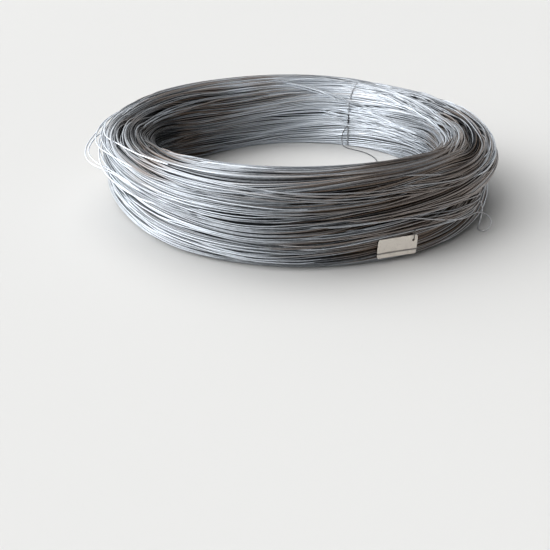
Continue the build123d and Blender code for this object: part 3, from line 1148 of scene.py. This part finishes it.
def make_tag_wire(tree, material):
    """A closed loop through the eyelet and over the tag's top edge."""
    x, y = EYELET_PLACE
    foot = y + EYELET_RADIUS - TAG_WIRE_RADIUS - TAG_WIRE_CLEARANCE
    top = foot + TAG_LOOP_LENGTH
    front, back = TAG_LOOP_FRONT, TAG_LOOP_BACK
    loop = [
        (x, foot, front - 0.0004),
        (x - 0.0006, foot + 0.0030, front + 0.0003),
        (x - 0.0004, foot + 0.0070, front),
        (x + 0.0003, top - 0.0020, front - 0.0006),
        (x + 0.0006, top, (front + back) / 2),
        (x + 0.0004, top - 0.0025, back),
        (x, foot + 0.0060, back),
        (x - 0.0002, foot + 0.0020, back),
        (x, foot - 0.0004, (front + back) / 2),
    ]
    place = tag_frame()
    lay_wires(
        "tag_loop", tree, [[place @ Vector(point) for point in loop]], TAG_WIRE_RADIUS, material,
        "tie_wire", "tag_wire", closed=True, Tone=0.2, Tone_spread=0.0, Brown=0.0, Seed=3.0,
    )


# Floor and light
FLOOR_SIZE = 40.0
FLOOR_COLOUR = (0.78, 0.78, 0.77, 1.0)
FLOOR_ROUGHNESS = 0.9
FLOOR_SHINE = 0.2
SKY_BRIGHTNESS = 0.12
BACKDROP_BRIGHTNESS = 0.88
BACKDROP_TOP = (0.20, 0.45)  # the heights on a unit sphere where the backdrop starts and ends to fade

# The soft lights: azimuth, elevation, width in degrees, and strength
LIGHTS = {
    "wide key light": (189.0, 27.0, 90.0, 2.55),
    "core of the key light": (189.0, 27.0, 46.0, 1.0),
    "front light": (228.0, 30.0, 50.0, 0.45),
    "rear light": (128.0, 28.0, 44.0, 0.6),
    "top light": (95.0, 62.0, 44.0, 0.95),
}


def make_floor():
    bpy.ops.mesh.primitive_plane_add(size=FLOOR_SIZE)
    floor = bpy.context.object
    floor.name = "floor"
    material, _, surface = new_material("pale floor")
    surface["Base Color"].default_value = FLOOR_COLOUR
    surface["Roughness"].default_value = FLOOR_ROUGHNESS
    surface["Specular IOR Level"].default_value = FLOOR_SHINE
    floor.data.materials.append(material)


def hang_lights():
    for name, (azimuth, elevation, width, strength) in LIGHTS.items():
        lamp = bpy.data.lights.new(name, "SUN")
        lamp.angle = math.radians(width)
        lamp.energy = strength
        a, e = math.radians(azimuth), math.radians(elevation)
        towards = Vector((math.cos(a) * math.cos(e), math.sin(a) * math.cos(e), math.sin(e)))
        new_object(name, lamp).rotation_euler = towards.to_track_quat("Z", "Y").to_euler()


def hang_backdrop():
    """A dim even sky, with a pale backdrop round the horizon that only the camera and shiny wires see."""
    world = bpy.data.worlds.new("studio")
    world.use_nodes = True
    make = Maker(world.node_tree)
    direction = make.node("ShaderNodeTexCoord").outputs["Generated"]
    height = make.split(direction)[2]
    rays = make.node("ShaderNodeLightPath").outputs
    seen = make.math("MAXIMUM", rays["Is Camera Ray"], rays["Is Glossy Ray"])
    low, high = BACKDROP_TOP
    backdrop = make.ramp(height, low, high, BACKDROP_BRIGHTNESS - SKY_BRIGHTNESS, 0.0)
    background = world.node_tree.nodes["Background"]
    background.inputs["Color"].default_value = (1.0, 1.0, 1.0, 1.0)
    make.feed(background.inputs["Strength"], seen * backdrop + SKY_BRIGHTNESS)
    bpy.context.scene.world = world


place_camera()
film = annealing_film_group()
annealed = wire_material("annealed wire", film)
packed_shade = wire_material("packed turns in painted shade", film)
tie_finish = wire_material("tie wire", film)
wires = laid_wires_tree()
make_core(packed_shade)
make_wound_turns(annealed)
make_bundles(wires, annealed)
make_sprung_turns(wires, annealed)
make_wire_end(wires, annealed)
make_tie(wires, tie_finish)
make_tag(tag_material())
make_tag_wire(wires, tie_finish)
make_floor()
hang_lights()
hang_backdrop()
bpy.context.scene.view_settings.view_transform = "Standard"
